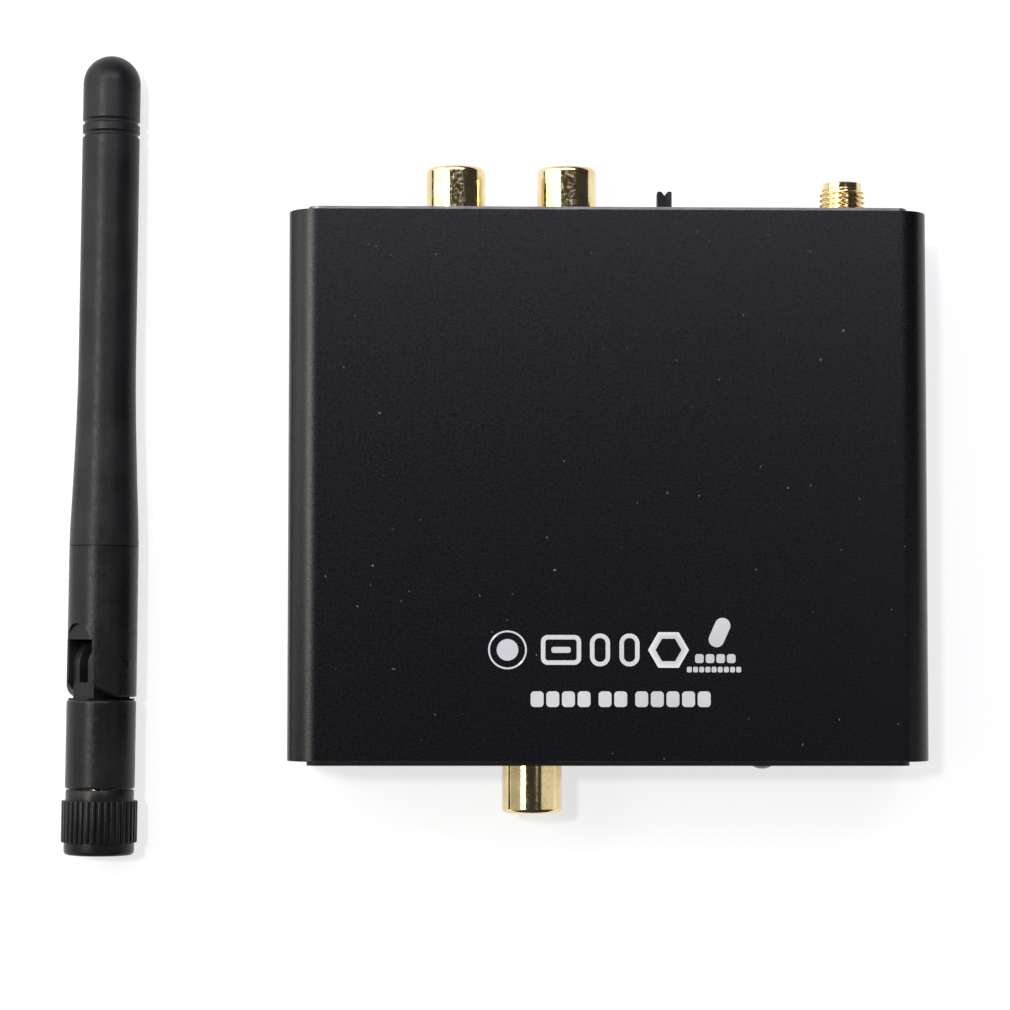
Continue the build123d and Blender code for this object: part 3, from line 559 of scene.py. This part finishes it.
def antenna_nut_thread():
    """Brass core of the nut with the socket's thread cut inside it."""
    bore, throat, outside = 3.2 * MM, 2.72 * MM, 4.0 * MM
    start, shoulder, end = 0.3 * MM, 5.2 * MM, 6.4 * MM
    lead_in, edge, depth = 0.25 * MM, 0.1 * MM, 0.30 * MM
    rows, sides = 60, 144
    thread = [(bore, shoulder - (shoulder - start - 0.3 * MM) * i / rows) for i in range(rows + 1)]
    outline = [(bore + lead_in, start), (outside - edge, start), (outside, start + edge),
               (outside, end), (throat, end), (throat, shoulder)] + thread

    def cut(angle, r, s):
        if abs(r - bore) > 1e-7:
            return r
        return bore + depth * (1 - thread_cut(angle, s))

    return lathe("antenna_nut_threaded_core", outline, ANT_PLACE, sides, cut)


# ---------------------------------------------------------------- cable across the hinge
CABLE_START_S, CABLE_END_S, CABLE_R = 24.4 * MM, 30.4 * MM, 0.62 * MM


def hinge_cable():
    """The stretch of thin cable where it crosses the tilt hinge, as a straight tube."""
    rows, sides = 24, 20
    vertices = []
    for i in range(rows + 1):
        s = CABLE_START_S + (CABLE_END_S - CABLE_START_S) * i / rows
        for j in range(sides):
            a = 2 * math.pi * j / sides
            vertices.append((CABLE_R * math.cos(a), CABLE_R * math.sin(a), s))
    faces = []
    for i in range(rows):
        low, high = i * sides, (i + 1) * sides
        for j in range(sides):
            after = (j + 1) % sides
            faces.append((low + j, low + after, high + after, high + j))
    faces += [tuple(range(sides)), tuple(range(rows * sides, (rows + 1) * sides))]
    return mesh_object("antenna_cable_over_hinge", vertices, faces, ANT_PLACE)


def bent_cable(cable):
    """Paints the cable and bakes its place into its mesh; the cable stays straight."""
    paint(cable, "black_insulator")
    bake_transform(cable)


# ---------------------------------------------------------------- print on the underside
INK = 0.012 * MM
ROW_Y = -22.3


def ring_of(name, outer, inner, place):
    """A thin flat band between two outlines that have the same number of points."""
    count = len(outer)
    vertices = [(x, y, z) for z in (-INK, INK) for outline in (outer, inner) for x, y in outline]
    low_out, low_in, top_out, top_in = 0, count, 2 * count, 3 * count
    faces = []
    for i in range(count):
        j = (i + 1) % count
        faces.append((top_out + i, top_out + j, top_in + j, top_in + i))
        faces.append((low_out + i, low_in + i, low_in + j, low_out + j))
        faces.append((low_out + i, low_out + j, top_out + j, top_out + i))
        faces.append((low_in + i, top_in + i, top_in + j, low_in + j))
    return mesh_object(name, vertices, faces, place)


def flat_mark(name, outline, place):
    """A thin flat mark that fills an outline."""
    return prism(name, outline, -INK, INK, place)


def circle(radius, count=64):
    """A circle's outline, or a polygon's; the radius is in millimetres."""
    steps = [2 * math.pi * i / count for i in range(count)]
    return [(radius * MM * math.cos(a), radius * MM * math.sin(a)) for a in steps]


def box_outline(width, height, radius):
    """A rounded rectangle's outline; the sizes are in millimetres."""
    x, y = width * MM / 2, height * MM / 2
    return rounded([(-x, -y), (x, -y), (x, y), (-x, y)], radius * MM, 6)


def at(x, y=ROW_Y):
    """A place on the underside; the coordinates are in millimetres."""
    return Matrix.Translation((x * MM, y * MM, CASE_TOP))


def bars(name, groups, width, height, left, bottom, gap):
    """Groups of equal rounded bars in a row; the sizes and places are in millimetres."""
    marks = []
    x = left
    outline = box_outline(width, height, 0.28 * min(width, height))
    for group, count in enumerate(groups):
        for number in range(count):
            place = at(x + width / 2, bottom + height / 2)
            marks.append(flat_mark(f"{name}_{group}_{number}", outline, place))
            x += width + gap
        x += 2 * gap
    return marks


def underside_marks():
    """Plain generic marks: a ring, a frame, capsules, a hexagon, a leaning bar, and rows of equal bars."""
    marks = [ring_of("mark_ring", circle(2.6), circle(2.36), at(-13.76)),
             flat_mark("mark_dot", circle(1.45), at(-13.76)),
             ring_of("mark_frame", box_outline(5.4, 4.0, 0.9), box_outline(4.2, 2.8, 0.35), at(-6.57)),
             flat_mark("mark_bar", box_outline(2.6, 0.8, 0.3), at(-6.57))]
    for number, x in enumerate((-1.33, 2.63)):
        outer, inner = box_outline(2.7, 4.4, 1.3), box_outline(1.5, 3.2, 0.7)
        marks.append(ring_of(f"mark_capsule_{number}", outer, inner, at(x)))
    marks.append(ring_of("mark_hexagon", circle(2.75, 6), circle(1.75, 6), at(7.88)))
    leaning = at(14.75, -19.95) @ Matrix.Rotation(math.radians(-24), 4, "Z")
    marks.append(flat_mark("mark_tilted_bar", box_outline(2.1, 4.1, 1.0), leaning))
    marks += bars("short_row", (4,), 1.16, 1.2, 11.45, -24.05, 0.27)
    marks += bars("fine_row", (9,), 0.66, 0.75, 10.35, -25.3, 0.17)
    marks += bars("wide_row", (4, 2, 5), 1.74, 2.1, -10.65, -29.95, 0.36)
    return marks


def joined(name, pieces):
    """One object from several, each already in place."""
    whole = bmesh.new()
    for piece in pieces:
        whole.from_mesh(piece.data)
    mesh = bpy.data.meshes.new(name)
    whole.to_mesh(mesh)
    whole.free()
    for piece in pieces:
        bpy.data.objects.remove(piece)
    return add_object(name, mesh)


# ---------------------------------------------------------------- everything together
make_camera()
make_lights()
make_floor()
paint_frame()
# How wide each shape's edges are rounded, in millimetres.
EDGE_WIDTHS = {"case_extrusion": 0.10, "rear_panel": 0.10, "front_panel": 0.10, "optical_housing": 0.12,
               "power_jack_housing": 0.12, "switch_knob": 0.08}
for node, width in EDGE_WIDTHS.items():
    soften(node, width * MM)

socket = joined("aerial_socket_threaded", aerial_socket())
stand_for(socket, "receiver", "gold_plate", "gold", "aerial_socket_body")
stand_for(antenna_nut(), "antenna_nut", "antenna_black", "antenna", "antenna_nut_grip")
stand_for(antenna_nut_thread(), "antenna_nut", "gold_plate", "gold", "antenna_nut_core")
stand_for(joined("underside_print", underside_marks()), "receiver", "panel_silver", "ink")
bent_cable(hinge_cable())

bpy.context.scene.view_settings.view_transform = "Standard"
